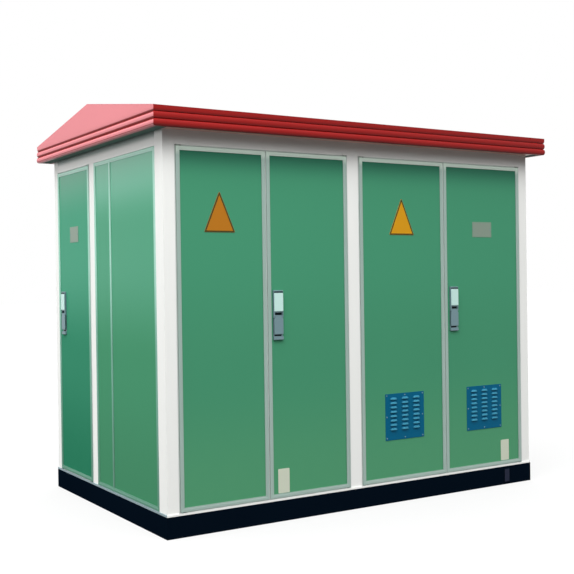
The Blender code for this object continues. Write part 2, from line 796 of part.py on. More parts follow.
# The bays of each wall, from its left corner as seen from outside
narrow_low = FRONT_POST_REACH
narrow_high = narrow_low + NARROW_BAY
wide_low = narrow_high + MID_POST_WIDTH
wide_high = LENGTH - FRONT_POST_REACH
end_door_low = END_BACK_REACH
end_door_high = end_door_low + END_DOOR_BAY
end_bay_low = end_door_high + END_MID_POST_WIDTH
end_bay_high = DEPTH - END_FRONT_REACH

first, second, leaf_width = pair(NARROW_BAY)
third, fourth, wide_leaf = pair(WIDE_BAY)
front_pivots = [
    leaf("door_1", front, narrow_low + first, leaf_width, "left"),
    leaf("door_2", front, narrow_low + second, leaf_width, "right", locked=True),
    leaf("door_3", front, wide_low + third, wide_leaf, "left", vented=True),
    leaf("door_4", front, wide_low + fourth, wide_leaf, "right", vented=True, locked=True),
]
end_leaf = END_DOOR_BAY - 2 * DOOR_GAP
left_pivots = [leaf("end_door", left, end_door_low + DOOR_GAP, end_leaf, "right", locked=True)]

strip = END_MULLION_WIDTH
mirrored = END_FIXED_BAY - END_MULLION_OFFSET
fixed_bay("left_bay", left, end_bay_low, END_FIXED_BAY, END_MULLION_OFFSET, strip)
fixed_bay("right_bay", right, DEPTH - end_bay_high, END_FIXED_BAY, mirrored, strip)
fixed_bay("right_door", right, DEPTH - end_door_high, END_DOOR_BAY)
fixed_bay("back_narrow", back, LENGTH - narrow_high, NARROW_BAY, NARROW_BAY / 2)
vent_places = (third + wide_leaf / 2, fourth + wide_leaf / 2)
fixed_bay("back_wide", back, LENGTH - wide_high, WIDE_BAY, WIDE_BAY / 2, vents=vent_places)

front_bays = [(narrow_low, narrow_high), (wide_low, wide_high)]
left_bays = [(end_door_low, end_door_high), (end_bay_low, end_bay_high)]
back_bays = [(LENGTH - high, LENGTH - low) for low, high in front_bays]
right_bays = [(DEPTH - high, DEPTH - low) for low, high in left_bays]

earth_lug(rail(front, LENGTH))
rail(right, DEPTH)
rail(back, LENGTH)
rail(left, DEPTH)
floor_plate(base)
sill(front, LENGTH, front_bays, front_pivots)
sill(right, DEPTH, right_bays, [])
sill(back, LENGTH, back_bays, [])
sill(left, DEPTH, left_bays, left_pivots)

corner_post("corner_post_front_left", front, FRONT_POST_REACH, END_FRONT_REACH)
corner_post("corner_post_front_right", right, END_FRONT_REACH, FRONT_POST_REACH)
corner_post("corner_post_back_right", back, FRONT_POST_REACH, END_BACK_REACH)
corner_post("corner_post_back_left", left, END_BACK_REACH, FRONT_POST_REACH)
mid_post(front, narrow_high, MID_POST_WIDTH)
mid_post(back, LENGTH - wide_low, MID_POST_WIDTH)
mid_post(left, end_door_high, END_MID_POST_WIDTH)
mid_post(right, DEPTH - end_bay_low, END_MID_POST_WIDTH)

head_beam(front, FRONT_POST_REACH, LENGTH - FRONT_POST_REACH, front_bays, front_pivots)
head_beam(back, FRONT_POST_REACH, LENGTH - FRONT_POST_REACH, back_bays, [])
head_beam(left, END_BACK_REACH, DEPTH - END_FRONT_REACH, left_bays, left_pivots)
head_beam(right, END_FRONT_REACH, DEPTH - END_BACK_REACH, right_bays, [])

fascia(base)
ceiling(base)
roof(base)
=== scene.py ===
# %% [markdown]
# # A compact substation in Blender
#
# The real object is a steel box about three metres long that holds a transformer and its
# switchgear. It stands on a frame of black channel, has green doors in white posts, blue
# louvred vents and a red roof with a ribbed edge. The solids of all these pieces come ready
# made, in metres. This script gives them their paint and adds what is too small or too thin to
# be a solid there: screws, rubber seals, bare plates and the covers of the locks.

import json
from math import atan2, cos, pi, radians, sin

import bmesh
import bpy
from mathutils import Matrix, Vector


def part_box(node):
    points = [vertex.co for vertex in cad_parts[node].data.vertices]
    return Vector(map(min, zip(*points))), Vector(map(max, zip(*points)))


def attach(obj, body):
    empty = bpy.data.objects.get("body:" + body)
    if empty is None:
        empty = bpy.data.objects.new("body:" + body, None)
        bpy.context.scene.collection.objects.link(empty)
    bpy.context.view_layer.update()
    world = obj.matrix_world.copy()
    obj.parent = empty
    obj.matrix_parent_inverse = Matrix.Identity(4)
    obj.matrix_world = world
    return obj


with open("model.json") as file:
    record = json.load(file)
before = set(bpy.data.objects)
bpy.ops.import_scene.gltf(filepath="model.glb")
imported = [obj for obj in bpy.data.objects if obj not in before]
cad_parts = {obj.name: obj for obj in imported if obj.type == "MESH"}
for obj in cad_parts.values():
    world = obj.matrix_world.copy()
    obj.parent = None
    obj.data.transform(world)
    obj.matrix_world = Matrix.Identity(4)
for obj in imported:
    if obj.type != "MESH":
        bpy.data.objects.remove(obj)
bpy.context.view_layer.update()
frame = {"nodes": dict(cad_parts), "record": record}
nodes = frame["nodes"]


def added(name, data):
    """A new object in the scene that shows this mesh, lamp or camera."""
    made = bpy.data.objects.new(name, data)
    bpy.context.scene.collection.objects.link(made)
    return made


# %% [markdown]
# ## The camera
#
# The photograph was taken from the front left, at about eye height, with a moderately long
# lens. The corners of the plinth and the eaves give the place and the lens of that camera, so
# the numbers below are a real place in metres, beside the object, and not a guess by eye. The
# camera's own axes are worked out from a heading, a pitch and a small roll.

# %% Camera
CAMERA_PLACE = Vector((-3.870, -6.085, 1.481))
HEADING = radians(32.20)
PITCH = radians(-0.445)
ROLL = radians(-0.80)
LENS = 62.35


def camera_axes(heading, pitch, roll):
    """The camera's right, up and backward axes, from a heading measured from +Y towards +X."""
    ahead = Vector((sin(heading) * cos(pitch), cos(heading) * cos(pitch), sin(pitch)))
    level = ahead.cross(Vector((0, 0, 1))).normalized()
    upright = level.cross(ahead)
    right = cos(roll) * level + sin(roll) * upright
    up = cos(roll) * upright - sin(roll) * level
    return right, up, -ahead


lens = bpy.data.cameras.new("camera")
lens.lens = LENS
lens.sensor_width = 36
lens.clip_end = 200
camera = added("camera", lens)
turn = Matrix(camera_axes(HEADING, PITCH, ROLL)).transposed().to_4x4()
camera.matrix_world = Matrix.Translation(CAMERA_PLACE) @ turn
bpy.context.scene.camera = camera

# %% [markdown]
# ## Shader maths as Python
#
# A material is a graph of nodes. Written node by node it is hard to read, so this small class
# wraps a socket and lets Python's own operators add the Math nodes: `1 - mask` makes a
# Subtract node. Colours don't go through Math nodes, which would turn them grey, so they have
# `mix` instead. Anything else comes from `node`, which takes the node's type, its settings and
# the values or links of its sockets.

# %% A wrapped socket
class Value:
    """A socket of a shader graph that can be used in an expression."""

    def __init__(self, graph, socket):
        self.graph = graph
        self.socket = socket

    def math(self, operation, *others):
        return self.graph.node(
            "ShaderNodeMath", {"operation": operation}, dict(enumerate((self, *others)))
        )

    def __add__(self, other):
        return self.math("ADD", other)

    def __radd__(self, other):
        return self.math("ADD", other)

    def __sub__(self, other):
        return self.math("SUBTRACT", other)

    def __rsub__(self, other):
        return self.graph.number(other).math("SUBTRACT", self)

    def __mul__(self, other):
        return self.math("MULTIPLY", other)

    def __rmul__(self, other):
        return self.math("MULTIPLY", other)

    def clamped(self):
        """The value kept between 0 and 1."""
        return self.math("MAXIMUM", 0.0).math("MINIMUM", 1.0)

    def step(self, low, high):
        """0 below low, 1 above high, smooth between."""
        settings = {"interpolation_type": "SMOOTHSTEP"}
        return self.graph.node("ShaderNodeMapRange", settings, {0: self, 1: low, 2: high})


class Graph:
    """The node graph of a new material, or of a world."""

    def __init__(self, owner, shader="Principled BSDF"):
        owner.use_nodes = True
        self.owner = owner
        self.tree = owner.node_tree
        self.shader = self.tree.nodes[shader]

    def node(self, kind, settings=None, inputs=None, output=0):
        """A node of this type, with its settings made first and then its sockets."""
        made = self.tree.nodes.new(kind)
        for key, setting in (settings or {}).items():
            setattr(made, key, setting)
        for key, value in (inputs or {}).items():
            self.feed(made.inputs[key], value)
        return Value(self, made.outputs[output])

    def feed(self, socket, value):
        if isinstance(value, Value):
            self.tree.links.new(value.socket, socket)
        else:
            socket.default_value = value

    def number(self, value):
        return self.node("ShaderNodeMath", {"operation": "ADD"}, {0: value, 1: 0.0})

    def place(self):
        """Object coordinates, in metres."""
        return self.node("ShaderNodeTexCoord", output="Object")

    def axes(self):
        """X, Y and Z of the object coordinates, each as a value."""
        split = self.tree.nodes.new("ShaderNodeSeparateXYZ")
        self.feed(split.inputs[0], self.place())
        return [Value(self, socket) for socket in split.outputs]

    def noise(self, scale, detail=2.0, roughness=0.5, stretch=(1, 1, 1)):
        """A noise from 0 to 1 over the object coordinates, with a scale per metre."""
        spread = self.node("ShaderNodeMapping", None, {"Vector": self.place(), "Scale": stretch})
        sockets = {"Vector": spread, "Scale": scale, "Detail": detail, "Roughness": roughness}
        return self.node("ShaderNodeTexNoise", None, sockets)

    def mix(self, mask, low, high):
        """A colour between two, by a mask from 0 to 1."""
        settings = {"data_type": "RGBA"}
        return self.node("ShaderNodeMix", settings, {0: mask, 6: low, 7: high}, output=2)

    def bump(self, height, distance, strength=1.0):
        """Raises the surface by this height, whose 1 is this many metres."""
        sockets = {"Height": height, "Distance": distance, "Strength": strength}
        self.feed(self.shader.inputs["Normal"], self.node("ShaderNodeBump", None, sockets))

    def finish(self, **sockets):
        """Sets or links sockets of the shader: base_color, roughness, metallic and so on."""
        for key, value in sockets.items():
            self.feed(self.shader.inputs[key.replace("_", " ").title().replace("Ior", "IOR")], value)
        return self.owner


def material_graph(name):
    """The graph of a new material of this name."""
    return Graph(bpy.data.materials.new(name))


def srgb(red, green, blue):
    """A colour as it looks on a screen, 0 to 255, as the linear colour that a shader takes."""

    def linear(channel):
        value = channel / 255
        return value / 12.92 if value <= 0.04045 else ((value + 0.055) / 1.055) ** 2.4

    return (linear(red), linear(green), linear(blue), 1.0)


def shade(colour, factor):
    """The colour, lighter or darker by a factor."""
    return tuple(min(channel * factor, 1.0) for channel in colour[:3]) + (1.0,)


print("mid grey is", round(srgb(128, 128, 128)[0], 3), "in linear light")

# %% [markdown]
# ## Sprayed paint
#
# The doors, posts, vents and plinth are steel with a sprayed coat. Up close such a coat has
# orange peel, a shallow ripple a few millimetres wide. From afar no sheet is quite one colour,
# so a slow noise lightens and darkens it by a few percent, and a finer one makes its gloss
# uneven. Towards the ground it may take a low tone: some dust on the front doors, painted shade
# on the end wall. Above the height of a person's eyes the colour is a little lighter and
# cooler: a painted reflection of the sky above the horizon. Towards the top it may take a tone
# of painted light: painted shade under the eaves on the green doors. What stands out most is
# painted paler, as a painted highlight: the hoods of the vents and the earthing lug on the plinth.

# %% Sprayed paints
HIGHLIGHT_WIDTH = 0.002
SHARP = 0.0005
PEEL_DEPTH = 0.00005
LOW_TONE_HEIGHTS = (0.20, 0.95)
HORIZON_HEIGHTS = (1.0, 1.6)
HOOD_HIGHLIGHT_DEPTH = 0.0052
LUG_HIGHLIGHT_DEPTH = 0.0005


def sprayed(name, colour, roughness, specular=0.1, cloud=0.02, **tones):
    """A sprayed coat with clouds of tone and orange peel.

    Its tones may be `dust` near the ground, dirt on some coats and painted shade on others, and
    `fresh` above eye level, a painted reflection of the sky, which are colours; `eaves`, a colour
    of painted light, mostly painted shade, and the heights between which it sets in; and `edge`, a
    painted highlight colour and how far out from the middle in Y it reaches.
    """
    graph = material_graph(name)
    tone = graph.noise(1.7, 2.0)
    fine = graph.noise(14.0, 3.0)
    height = graph.axes()[2]
    coat = graph.mix(tone, shade(colour, 1 - cloud), shade(colour, 1 + cloud))
    # From eye height up: a painted reflection of the sky.
    if "fresh" in tones:
        coat = graph.mix(height.step(*HORIZON_HEIGHTS), coat, tones["fresh"])
    # Near the ground: dust on some coats, painted shade on those of the end wall.
    if "dust" in tones:
        dusty = (1 - height.step(*LOW_TONE_HEIGHTS)) * (0.8 + 0.2 * fine)
        coat = graph.mix(dusty, coat, tones["dust"])
    # Towards the top: painted shade, and on the end bay a painted sheen.
    if "eaves" in tones:
        top_tone, low, high = tones["eaves"]
        rising = height.step(low, high)
        coat = graph.mix(rising * rising, coat, top_tone)
    # A painted highlight on what stands out furthest in Y.
    if "edge" in tones:
        highlight_colour, reach = tones["edge"]
        out = graph.axes()[1].math("ABSOLUTE")
        coat = graph.mix(out.step(reach - HIGHLIGHT_WIDTH, reach), coat, highlight_colour)
    graph.bump(graph.noise(260.0, 1.0), PEEL_DEPTH)
    gloss = roughness + 0.10 * fine
    return graph.finish(base_color=coat, roughness=gloss, specular_ior_level=specular)


# Front doors: a little dust low down, a painted reflection of the sky from eye height up, and painted
# shade right under the eaves.
GREEN_TONES = {
    "dust": srgb(77, 144, 105),
    "fresh": srgb(66, 141, 107),
    "eaves": (srgb(44, 107, 84), 2.02, 2.25),
}
GREEN = sprayed("green powder coat", srgb(65, 137, 103), 0.36, **GREEN_TONES)
WHITE = sprayed("white powder coat", srgb(233, 234, 231), 0.40)
# The end sills are grey, darker and bluer than the white posts.
GREY = sprayed("grey end sill", srgb(132, 150, 156), 0.40)
# The outer part of each vent hood is painted lighter: a painted highlight where it catches the sky.
HOOD_HIGHLIGHT = (srgb(52, 128, 154), -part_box("door_3_vent")[0].y - HOOD_HIGHLIGHT_DEPTH)
BLUE = sprayed("blue vent paint", srgb(0, 87, 121), 0.38, edge=HOOD_HIGHLIGHT)
# The earthing lug, proud of the plinth's face, is painted lighter: a painted highlight.
LUG_HIGHLIGHT = (srgb(42, 46, 62), -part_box("plinth_front_rail")[0].y - LUG_HIGHLIGHT_DEPTH)
NAVY = sprayed("black plinth paint", srgb(5, 15, 26), 0.50, specular=0.0, cloud=0.1, edge=LUG_HIGHLIGHT)
print("sprayed:", GREEN.name, WHITE.name, GREY.name, BLUE.name, NAVY.name)

# %% [markdown]
# ## Paint round the eaves
#
# One plate closes the room and the eaves, and it shows in three ways. Over the room it is plain
# white. Past the long walls it has a painted red glow, light as from the edge of the roof, under
# a thin clear coat. Past the end walls it is painted dark and dull, with no coat: painted shade.
# So two masks say where the plate reaches past the walls. The head beams of the end walls have
# painted shade in their upper half, and still have their clear coat.

# %% Paints round the eaves
END_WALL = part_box("right_head_beam")[1].x
LONG_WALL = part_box("back_head_beam")[1].y


def eaves_paint(name, room, front, end):
    """Three tones for the top plate: plain over the room, a painted red glow past the long walls and
    painted shade past the end walls.
    """
    graph = Graph(sprayed(name, room, 0.5, specular=0.0))
    along, across = (axis.math("ABSOLUTE") for axis in graph.axes()[:2])
    past_end = along.step(END_WALL - SHARP, END_WALL + SHARP)
    past_long = across.step(LONG_WALL - SHARP, LONG_WALL + SHARP)
    tone = graph.mix(past_end, graph.mix(past_long, room, front), end)
    graph.finish(base_color=tone, coat_weight=past_long * (1 - past_end) * 0.6)
    return graph.finish(coat_roughness=0.3)


# Past the long walls: a painted red glow of light off the roof's edge. Past the end walls: painted
# shade.
UNDERSIDE = eaves_paint(
    "paint under the eaves", srgb(233, 234, 231), srgb(240, 192, 183), srgb(120, 140, 134)
)
# Painted shade on the upper part of the end head beams, under the eaves.
EAVES_SHADE = {"eaves": (srgb(160, 170, 167), 2.292, 2.330)}
END_BEAM_WHITE = sprayed("end beam white", srgb(233, 234, 231), 0.40, **EAVES_SHADE)
Graph(END_BEAM_WHITE).finish(coat_weight=0.35, coat_roughness=0.22)
print("round the eaves:", UNDERSIDE.name, END_BEAM_WHITE.name, "past", round(END_WALL, 3), "m")

# %% [markdown]
# ## Clear coat on the end wall
#
# Seen at a slant, the end wall mirrors the sky in a clear coat over its paint. Splashing rain
# has dulled that coat towards the ground, so it is missing at the foot, thin above the height
# of a person's chest and thickest right under the eaves. Under the coat the colour is painted
# darker near the ground, as painted shade, and lighter higher up, as a painted sheen of the sky.
# The end door is darker than the bay beside it, most of all near the ground.

# %% End wall paints
def coated(name, colour, dust, fresh, **tones):
    """A sprayed coat under a clear one that is thin near the ground, with painted shade low down and
    a painted sheen higher up.
    """
    graph = Graph(sprayed(name, colour, 0.36, specular=0.0, dust=dust, fresh=fresh, **tones))
    height = graph.axes()[2]
    coat = height.step(*HORIZON_HEIGHTS) * 0.3 + height.step(1.9, 2.3) * 0.7
    return graph.finish(coat_weight=coat, coat_roughness=0.22)


# A lighter top on the end bay: a painted sheen.
TOP_SHEEN_GREEN = {"eaves": (srgb(100, 170, 142), 1.75, 2.10)}
# Both end-wall greens go from painted shade low down to a painted sheen of the sky higher up.
END_BAY_GREEN = coated(
    "end bay green", srgb(71, 141, 105), srgb(69, 134, 99), srgb(75, 152, 119), **TOP_SHEEN_GREEN
)
END_DOOR_GREEN = coated("end door green", srgb(56, 132, 102), srgb(42, 119, 89), srgb(61, 148, 116))
print("coated:", END_BAY_GREEN.name, END_DOOR_GREEN.name)

# %% [markdown]
# ## Red roof paint
#
# The roof and its ribbed edge have a deeper enamel under a clear coat. Rain runs down it and
# leaves streaks that are a little duller than the rest. The streaks are a noise that is squeezed
# in height, so that each patch of it is nearly seven times as tall as it is wide. The two short
# ends of the roof are painted pink, as painted light and sheen on the lit ends: the gables all
# over, and the ribs below them where they stand out most, so the grooves between them keep the red.

# %% Roof enamel
# The pink of the roof's ends stands for light and sheen: painted light and a painted sheen.
LIT_END_PINK = srgb(219, 131, 137)
ENAMEL_PEEL_DEPTH = 0.00004


def enamel(name, colour, lit_end_mask=None):
    """A paint under a clear coat, with dull rain streaks, and a pink of painted light and sheen where
    a given mask is 1.
    """
    graph = material_graph(name)
    tone = graph.noise(1.3, 2.0)
    streak = graph.noise(5.0, 1.0, stretch=(1.0, 1.0, 0.15)).step(0.3, 0.9)
    coat = graph.mix(tone, shade(colour, 0.94), shade(colour, 1.04))
    if lit_end_mask:
        coat = graph.mix(lit_end_mask(graph) * (0.95 + 0.05 * streak), coat, LIT_END_PINK)
    graph.bump(graph.noise(240.0, 1.0), ENAMEL_PEEL_DEPTH)
    graph.finish(base_color=coat, roughness=0.5 + 0.1 * streak, specular_ior_level=0.0)
    return graph.finish(coat_weight=0.42, coat_roughness=0.275)


RIB_LEAN = 0.037
RIB_FOOT = (0.006, 0.010)


def rib_ends(graph, depth=0.0012):
    """1 on the outermost millimetre of the ribs, which step inwards, at the short ends.

    The foot of the lowest rib is 1 as well. Where this is 1, the ends take the pink of painted light
    and sheen.
    """
    low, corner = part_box("roof_fascia")
    along, across, height = (axis.math("ABSOLUTE") for axis in graph.axes())
    on_end = (along - corner.x - across + corner.y).step(-SHARP, SHARP)
    inwards = along - corner.x + (height - low.z) * RIB_LEAN
    foot = 1 - (height - low.z).step(*RIB_FOOT)
    return on_end * inwards.step(-depth, -0.35 * depth).math("MAXIMUM", foot)


# At the short ends the outer parts of the ribs take the pink painted light and sheen.
RED = enamel("red roof enamel", srgb(140, 14, 12), rib_ends)
PINK = enamel("pink gable enamel", LIT_END_PINK)
print("enamels:", RED.name, PINK.name)

# %% [markdown]
# ## Aluminium trims and lock castings
#
# Each door is framed by a drawn aluminium section. Drawing leaves fine lines along its length.
# A noise stretched far along one axis gives such lines. The sections run both upright and
# level, so the material takes half of each direction, at low strength. From the camera's
# distance only a soft, satin highlight is left of them. Right under the eaves the sections are
# painted lighter, as painted light in the shade of the eaves. Those of the end wall are painted a
# pale green instead, under the same clear coat as the panels that they hold, with the same
# painted shade low down and painted sheen higher up.

# %% Metals
LINE_DEPTH = 0.00004
HEAD_LIGHT_HEIGHTS = (2.20, 2.24)


def drawn(name, colour, roughness, metallic, head_light=None):
    """A satin metal with fine lines from drawing, which may be painted lighter under the eaves as
    painted light.
    """
    graph = material_graph(name)
    upright = graph.noise(900.0, 2.0, stretch=(1.0, 1.0, 0.01))
    level = graph.noise(900.0, 2.0, stretch=(0.01, 0.01, 1.0))
    lines = (upright + level) * 0.5
    cloud = graph.noise(3.0, 2.0)
    base = graph.mix(cloud, shade(colour, 0.93), shade(colour, 1.05))
    if head_light:
        base = graph.mix(graph.axes()[2].step(*HEAD_LIGHT_HEIGHTS), base, head_light)
    graph.bump(lines, LINE_DEPTH)
    return graph.finish(base_color=base, roughness=roughness + 0.12 * lines, metallic=metallic)


# The lighter tone right under the eaves is painted light.
TRIM = drawn("satin aluminium", srgb(150, 171, 163), 0.34, 0.35, head_light=srgb(188, 204, 192))
# Its low and high tones are painted shade and a painted sheen, as on the end panels.
END_TRIM = coated("end trim paint", srgb(120, 168, 150), srgb(98, 140, 122), srgb(160, 208, 190))
LOCK = drawn("grey lock casting", srgb(106, 133, 140), 0.36, 0.3)
ZINC = drawn("dull zinc screws", srgb(104, 138, 148), 0.40, 0.3)
print("metals:", TRIM.name, LOCK.name, ZINC.name)

# %% [markdown]
# ## The floor inside
#
# The floor is a plain grey plate that a person walks on, so it is scuffed: rougher and darker
# in patches. It shows only when the doors are open.

# %% Walked-on floor
def walked_on(name, colour):
    """A matt floor paint with scuffs."""
    graph = material_graph(name)
    scuff = graph.noise(6.0, 4.0, 0.6).step(0.45, 0.7)
    base = graph.mix(scuff, colour, shade(colour, 0.72))
    graph.bump(graph.noise(90.0, 3.0), 0.0002)
    return graph.finish(base_color=base, roughness=0.6 + 0.15 * scuff)


FLOOR = walked_on("grey floor paint", srgb(120, 122, 122))
print("floor:", FLOOR.name)

# %% [markdown]
# ## Paint every solid
#
# Each solid has a named finish in the record that comes with it, so one table from finish to
# material paints nearly all of them. A few pieces get a material of their own, most of them to
# carry painted light and shade: the end wall's panels, frames, head beam and sill, the plate
# under the eaves and the two gables. Those are looked up by name first. The hidden end is
# painted as the end in view.

# %% Paint every solid
FINISHES = {
    "door_paint": GREEN,
    "frame_paint": WHITE,
    "roof_paint": RED,
    "vent_paint": BLUE,
    "trim": TRIM,
    "lock_casting": LOCK,
    "plinth_paint": NAVY,
    "floor_paint": FLOOR,
}
EXCEPTIONS = {
    "ceiling_plate": UNDERSIDE,
    "left_head_beam": END_BEAM_WHITE,
    "right_head_beam": END_BEAM_WHITE,
    "left_sill": GREY,
    "right_sill": GREY,
    "left_bay_panel": END_BAY_GREEN,
    "right_bay_panel": END_BAY_GREEN,
    "end_door_panel": END_DOOR_GREEN,
    "right_door_panel": END_DOOR_GREEN,
    "left_bay_frame": END_TRIM,
    "right_bay_frame": END_TRIM,
    "end_door_frame": END_TRIM,
    "right_door_frame": END_TRIM,
    "gable_left": PINK,
    "gable_right": PINK,
}
slots = {row["node"]: row["material_slot"] for row in frame["record"]["subparts"]}
for name, node in nodes.items():
    node.data.materials.clear()
    node.data.materials.append(EXCEPTIONS.get(name) or FINISHES[slots[name]])
print("painted", len(nodes), "solids,", len(EXCEPTIONS), "of them in a finish of their own")

# %% [markdown]
# ## Where the walls are
#
# Screws, plates and covers sit on the walls, and each wall faces its own way. So each piece is
# made in a plain frame of its own, X to the right, Y into the wall and Z up, as someone
# who stands in front of that wall sees it. `put` then turns the mesh to its wall. The piece's
# object stays at the origin with its place in its mesh, as the solids do.

# %% Walls and placing
WALL_TURN = {"front": 0, "right": 90, "back": 180, "left": -90}
CORNERS = {
    "front": (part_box("plinth_front_rail")[0].x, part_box("door_1_frame")[0].y),
    "left": (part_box("end_door_frame")[0].x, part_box("plinth_back_rail")[1].y),
    "back": (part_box("plinth_back_rail")[1].x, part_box("back_wide_frame")[1].y),
}


def on_wall(wall, along, depth, height):
    """The matrix that puts a mesh on a wall, by metres along it, into it and up."""
    corner = Vector((*CORNERS[wall], 0))
    spin = Matrix.Rotation(radians(WALL_TURN[wall]), 4, "Z")
    return Matrix.Translation(corner) @ spin @ Matrix.Translation((along, depth, height))


def box_on(wall, node):
    """A solid's lowest and highest corner as metres along the wall, into it and up."""
    back = on_wall(wall, 0, 0, 0).inverted()
    ends = [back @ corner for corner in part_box(node)]
    return [Vector(pick(pair) for pair in zip(*ends)) for pick in (min, max)]


def put(mesh_object, place, body):
    """Finishes a piece: its place goes into the mesh, and it rides a body."""
    mesh_object.data.transform(place)
    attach(mesh_object, body)
    return mesh_object


for node in ("door_1_panel", "door_3_vent", "door_2_lock_case"):
    low, high = box_on("front", node)
    print(node, [round(value, 3) for value in low], [round(value, 3) for value in high])

# %% [markdown]
# ## Screws, by Geometry Nodes
#
# Eight small screws hold each vent plate, and pairs hold the name plates. One node tree makes
# them all: a grid of points as wide and as high as asked, a pan head on each point, and the
# middle point left out where the grid has one. Instances are made real at the end, since an
# exported model can't hold them. The head is a cone with few sides, because it repeats.

# %% A tree for screws on a rectangle
def new_tree(name, sizes):
    """A Geometry Nodes group with one geometry output and these named sizes as inputs."""
    tree = bpy.data.node_groups.new(name, "GeometryNodeTree")
    tree.interface.new_socket("Geometry", in_out="OUTPUT", socket_type="NodeSocketGeometry")
    for key, kind in sizes.items():
        tree.interface.new_socket(key, in_out="INPUT", socket_type=kind)
    return tree


class Tree:
    """Makes and links the nodes of a Geometry Nodes group."""

    def __init__(self, name, sizes):
        self.tree = new_tree(name, sizes)
        self.sizes = self.tree.nodes.new("NodeGroupInput")

    def size(self, name):
        return self.sizes.outputs[name]

    def node(self, kind, settings=None, inputs=None):
        made = self.tree.nodes.new(kind)
        for key, setting in (settings or {}).items():
            setattr(made, key, setting)
        for key, value in (inputs or {}).items():
            if hasattr(value, "is_output"):
                self.tree.links.new(value, made.inputs[key])
            else:
                made.inputs[key].default_value = value
        return made.outputs

    def end(self, geometry, material):
        """Real geometry in this material, as the tree's result."""
        real = self.node("GeometryNodeRealizeInstances", None, {"Geometry": geometry})
        painted = self.node(
            "GeometryNodeSetMaterial", None, {"Geometry": real[0], "Material": material}
        )
        out = self.tree.nodes.new("NodeGroupOutput")
        self.tree.links.new(painted[0], out.inputs[0])
        return self.tree


def grown(tree, name, **sizes):
    """The plain mesh object that a tree makes with these sizes."""
    host = added(name + "_host", bpy.data.meshes.new(name + "_host"))
    modifier = host.modifiers.new("grow", "NODES")
    modifier.node_group = tree
    sockets = {item.name: item.identifier for item in tree.interface.items_tree}
    for key, value in sizes.items():
        modifier[sockets[key]] = value
    graph = bpy.context.evaluated_depsgraph_get()
    mesh = bpy.data.meshes.new_from_object(host.evaluated_get(graph))
    bpy.data.objects.remove(host)
    return added(name, mesh)


FLOAT = "NodeSocketFloat"
WHOLE = "NodeSocketInt"


def screw_tree():
    """Pan heads on a grid of points in X and Z, with the middle one of a 3 by 3 grid left out."""
    sizes = {"Width": FLOAT, "Height": FLOAT, "Head": FLOAT}
    sizes.update({"Columns": WHOLE, "Rows": WHOLE, "Skip": WHOLE})
    tree = Tree("screws", sizes)
    grid = tree.node(
        "GeometryNodeMeshGrid",
        None,
        {
            "Size X": tree.size("Width"),
            "Size Y": tree.size("Height"),
            "Vertices X": tree.size("Columns"),
            "Vertices Y": tree.size("Rows"),
        },
    )
    index = tree.node("GeometryNodeInputIndex")
    keep = tree.node(
        "FunctionNodeCompare",
        {"data_type": "INT", "operation": "NOT_EQUAL"},
        {"A": index[0], "B": tree.size("Skip")},
    )
    points = tree.node("GeometryNodeMeshToPoints", None, {"Mesh": grid[0], "Selection": keep[0]})
    top = tree.node(
        "ShaderNodeMath", {"operation": "MULTIPLY"}, {0: tree.size("Head"), 1: 0.62}
    )
    depth = tree.node(
        "ShaderNodeMath", {"operation": "MULTIPLY"}, {0: tree.size("Head"), 1: 0.45}
    )
    head = tree.node(
        "GeometryNodeMeshCone",
        None,
        {"Vertices": 12, "Radius Top": top[0], "Radius Bottom": tree.size("Head"), "Depth": depth[0]},
    )
    placed = tree.node(
        "GeometryNodeInstanceOnPoints", None, {"Points": points[0], "Instance": head[0]}
    )
    upright = tree.node(
        "GeometryNodeTransform", None, {"Geometry": placed[0], "Rotation": (pi / 2, 0, 0)}
    )
    return tree.end(upright[0], ZINC)


SCREWS = screw_tree()
VENT_SCREW_INSET = 0.012
VENT_SCREW_HEAD = 0.0045
VENT_SHEET = 0.002
print("screw tree has", len(SCREWS.nodes), "nodes")

# %% Screws on the vents
VENT_NAMES = {
    "door_3_vent": ("front", "door_3"),
    "door_4_vent": ("front", "door_4"),
    "back_wide_vent_1": ("back", "housing"),
    "back_wide_vent_2": ("back", "housing"),
}
for node, (wall, body) in VENT_NAMES.items():
    low, high = box_on(wall, node)
    face = high.y - VENT_SHEET
    screws = grown(
        SCREWS,
        node + "_screws",
        Width=high.x - low.x - 2 * VENT_SCREW_INSET,
        Height=high.z - low.z - 2 * VENT_SCREW_INSET,
        Columns=3,
        Rows=3,
        Skip=4,
        Head=VENT_SCREW_HEAD,
    )
    middle = (low + high) / 2
    put(screws, on_wall(wall, middle.x, face, middle.z), body)
    print(screws.name, len(screws.data.polygons), "faces")

# %% [markdown]
# ## Bare plates
#
# The doors carry thin plates: two amber triangles with a dark border, two name plates and two
# labels near the ground. Their words are left off. Each is an outline with round corners, made
# solid by a small thickness. A border or a rim is an outline with a hole in it, as thick as a
# print, and lies on top of the plate. The arcs are worked out, with the same few points in
# every corner.

# %% Outlines with round corners
PANEL_FACE = box_on("front", "door_1_panel")[0].y
ARC_STEPS = 5


def rounded(corners, radius):
    """The outline through these corners, each turned into an arc of this radius."""
    outline = []
    count = len(corners)
    for index in range(count):
        here = Vector(corners[index])
        before = (Vector(corners[index - 1]) - here).normalized()
        after = (Vector(corners[(index + 1) % count]) - here).normalized()
        half = before.angle(after) / 2
        centre = here + (before + after).normalized() * radius / sin(half)
        start = here + before * radius * cos(half) / sin(half) - centre
        end = here + after * radius * cos(half) / sin(half) - centre
        first = atan2(start.y, start.x)
        sweep = (atan2(end.y, end.x) - first + pi) % (2 * pi) - pi
        for step in range(ARC_STEPS + 1):
            angle = first + sweep * step / ARC_STEPS
            outline.append(centre + radius * Vector((cos(angle), sin(angle))))
    return outline


def rectangle(width, height):
    """The corners of a rectangle round the middle."""
    x, z = width / 2, height / 2
    return [(-x, -z), (x, -z), (x, z), (-x, z)]


